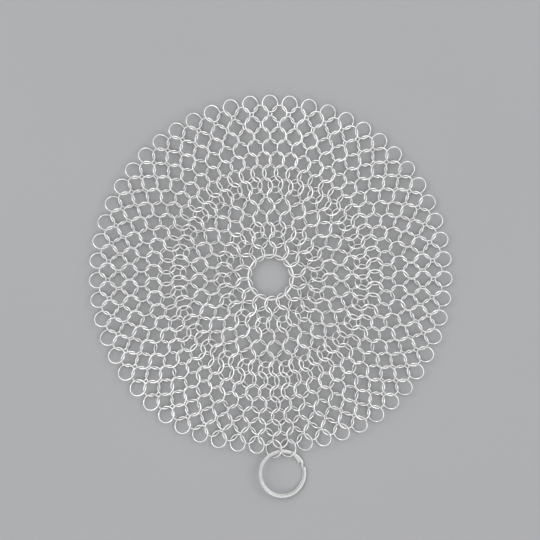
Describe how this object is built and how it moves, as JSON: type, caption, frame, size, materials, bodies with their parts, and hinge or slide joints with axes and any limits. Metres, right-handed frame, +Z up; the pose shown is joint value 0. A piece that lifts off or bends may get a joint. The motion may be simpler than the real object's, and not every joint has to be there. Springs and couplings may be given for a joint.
{
  "type": "chain mail pot scrubber",
  "caption": "Round chain mail pot scrubber: small linked steel wire rings woven in rows around a larger centre ring, with a flat split ring at the edge to hang it up.",
  "frame": {"origin": "middle of the mat's underside, under the centre of the centre ring, on the surface it lies on", "axes": "+Z up out of the mat, -Y toward the split ring, +X to the right seen from above"},
  "size_m": [0.1984, 0.2199, 0.0057],
  "materials": {
    "mail_wire": "polished round wire",
    "centre_ring_wire": "polished round wire",
    "split_ring_steel": "satin flat band with rounded edges"
  },
  "bodies": {
    "hub": {"centre_ring": "centre_ring_wire"},
    "gore_01": {"gore_01_inner_rings": "mail_wire", "gore_01_outer_rings": "mail_wire", "gore_01_edge_rings": "mail_wire", "gore_01_joining_rings": "mail_wire"},
    "gore_02": {"gore_02_inner_rings": "mail_wire", "gore_02_outer_rings": "mail_wire", "gore_02_edge_rings": "mail_wire", "gore_02_joining_rings": "mail_wire"},
    "gore_03": {"gore_03_inner_rings": "mail_wire", "gore_03_outer_rings": "mail_wire", "gore_03_edge_rings": "mail_wire", "gore_03_joining_rings": "mail_wire"},
    "gore_04": {"gore_04_inner_rings": "mail_wire", "gore_04_outer_rings": "mail_wire", "gore_04_edge_rings": "mail_wire", "gore_04_joining_rings": "mail_wire"},
    "gore_05": {"gore_05_inner_rings": "mail_wire", "gore_05_outer_rings": "mail_wire", "gore_05_edge_rings": "mail_wire", "gore_05_joining_rings": "mail_wire"},
    "gore_06": {"gore_06_inner_rings": "mail_wire", "gore_06_outer_rings": "mail_wire", "gore_06_edge_rings": "mail_wire", "gore_06_joining_rings": "mail_wire"},
    "gore_07": {"gore_07_inner_rings": "mail_wire", "gore_07_outer_rings": "mail_wire", "gore_07_edge_rings": "mail_wire", "gore_07_joining_rings": "mail_wire"},
    "gore_08": {"gore_08_inner_rings": "mail_wire", "gore_08_outer_rings": "mail_wire", "gore_08_edge_rings": "mail_wire", "gore_08_joining_rings": "mail_wire"},
    "gore_09": {"gore_09_inner_rings": "mail_wire", "gore_09_outer_rings": "mail_wire", "gore_09_edge_rings": "mail_wire", "gore_09_joining_rings": "mail_wire"},
    "gore_10": {"gore_10_inner_rings": "mail_wire", "gore_10_outer_rings": "mail_wire", "gore_10_edge_rings": "mail_wire", "gore_10_joining_rings": "mail_wire"},
    "gore_11": {"gore_11_inner_rings": "mail_wire", "gore_11_outer_rings": "mail_wire", "gore_11_edge_rings": "mail_wire", "gore_11_joining_rings": "mail_wire"},
    "gore_12": {"gore_12_inner_rings": "mail_wire", "gore_12_outer_rings": "mail_wire", "gore_12_edge_rings": "mail_wire", "gore_12_joining_rings": "mail_wire"},
    "gore_13": {"gore_13_inner_rings": "mail_wire", "gore_13_outer_rings": "mail_wire", "gore_13_edge_rings": "mail_wire", "gore_13_joining_rings": "mail_wire"},
    "gore_14": {"gore_14_inner_rings": "mail_wire", "gore_14_outer_rings": "mail_wire", "gore_14_edge_rings": "mail_wire", "gore_14_joining_rings": "mail_wire"},
    "hanger": {"hanger_rings": "mail_wire"},
    "split_ring": {"split_ring": "split_ring_steel"}
  },
  "joints": [
    {"name": "gore_01_flex", "type": "hinge", "parent": "hub", "child": "gore_01", "pos_m": [0, -0.01225, 0.00287], "axis": [1, 0, 0], "range_deg": [-18, 18]},
    {"name": "gore_02_flex", "type": "hinge", "parent": "hub", "child": "gore_02", "pos_m": [0.00532, -0.01104, 0.00287], "axis": [0.901, 0.4339, 0], "range_deg": [-18, 18]},
    {"name": "gore_03_flex", "type": "hinge", "parent": "hub", "child": "gore_03", "pos_m": [0.00958, -0.00764, 0.00287], "axis": [0.6235, 0.7818, 0], "range_deg": [-18, 18]},
    {"name": "gore_04_flex", "type": "hinge", "parent": "hub", "child": "gore_04", "pos_m": [0.01194, -0.00273, 0.00287], "axis": [0.2225, 0.9749, 0], "range_deg": [-18, 18]},
    {"name": "gore_05_flex", "type": "hinge", "parent": "hub", "child": "gore_05", "pos_m": [0.01194, 0.00273, 0.00287], "axis": [-0.2225, 0.9749, 0], "range_deg": [-18, 18]},
    {"name": "gore_06_flex", "type": "hinge", "parent": "hub", "child": "gore_06", "pos_m": [0.00958, 0.00764, 0.00287], "axis": [-0.6235, 0.7818, 0], "range_deg": [-18, 18]},
    {"name": "gore_07_flex", "type": "hinge", "parent": "hub", "child": "gore_07", "pos_m": [0.00532, 0.01104, 0.00287], "axis": [-0.901, 0.4339, 0], "range_deg": [-18, 18]},
    {"name": "gore_08_flex", "type": "hinge", "parent": "hub", "child": "gore_08", "pos_m": [0, 0.01225, 0.00287], "axis": [-1, 0, 0], "range_deg": [-18, 18]},
    {"name": "gore_09_flex", "type": "hinge", "parent": "hub", "child": "gore_09", "pos_m": [-0.00532, 0.01104, 0.00287], "axis": [-0.901, -0.4339, 0], "range_deg": [-18, 18]},
    {"name": "gore_10_flex", "type": "hinge", "parent": "hub", "child": "gore_10", "pos_m": [-0.00958, 0.00764, 0.00287], "axis": [-0.6235, -0.7818, 0], "range_deg": [-18, 18]},
    {"name": "gore_11_flex", "type": "hinge", "parent": "hub", "child": "gore_11", "pos_m": [-0.01194, 0.00273, 0.00287], "axis": [-0.2225, -0.9749, 0], "range_deg": [-18, 18]},
    {"name": "gore_12_flex", "type": "hinge", "parent": "hub", "child": "gore_12", "pos_m": [-0.01194, -0.00273, 0.00287], "axis": [0.2225, -0.9749, 0], "range_deg": [-18, 18]},
    {"name": "gore_13_flex", "type": "hinge", "parent": "hub", "child": "gore_13", "pos_m": [-0.00958, -0.00764, 0.00287], "axis": [0.6235, -0.7818, 0], "range_deg": [-18, 18]},
    {"name": "gore_14_flex", "type": "hinge", "parent": "hub", "child": "gore_14", "pos_m": [-0.00532, -0.01104, 0.00287], "axis": [0.901, -0.4339, 0], "range_deg": [-18, 18]},
    {"name": "hanger_swing", "type": "hinge", "parent": "gore_01", "child": "hanger", "pos_m": [0, -0.0888, 0.00287], "axis": [1, 0, 0], "range_deg": [-10, 10]},
    {"name": "split_ring_swing", "type": "hinge", "parent": "hanger", "child": "split_ring", "pos_m": [0, -0.09564, 0.00287], "axis": [1, 0, 0], "range_deg": [-25, 20]}
  ],
  "couplings": [
    {"joint": "gore_02_flex", "follows": "gore_01_flex", "ratio": 1},
    {"joint": "gore_03_flex", "follows": "gore_01_flex", "ratio": 1},
    {"joint": "gore_04_flex", "follows": "gore_01_flex", "ratio": 1},
    {"joint": "gore_05_flex", "follows": "gore_01_flex", "ratio": 1},
    {"joint": "gore_06_flex", "follows": "gore_01_flex", "ratio": 1},
    {"joint": "gore_07_flex", "follows": "gore_01_flex", "ratio": 1},
    {"joint": "gore_08_flex", "follows": "gore_01_flex", "ratio": 1},
    {"joint": "gore_09_flex", "follows": "gore_01_flex", "ratio": 1},
    {"joint": "gore_10_flex", "follows": "gore_01_flex", "ratio": 1},
    {"joint": "gore_11_flex", "follows": "gore_01_flex", "ratio": 1},
    {"joint": "gore_12_flex", "follows": "gore_01_flex", "ratio": 1},
    {"joint": "gore_13_flex", "follows": "gore_01_flex", "ratio": 1},
    {"joint": "gore_14_flex", "follows": "gore_01_flex", "ratio": 1}
  ]
}
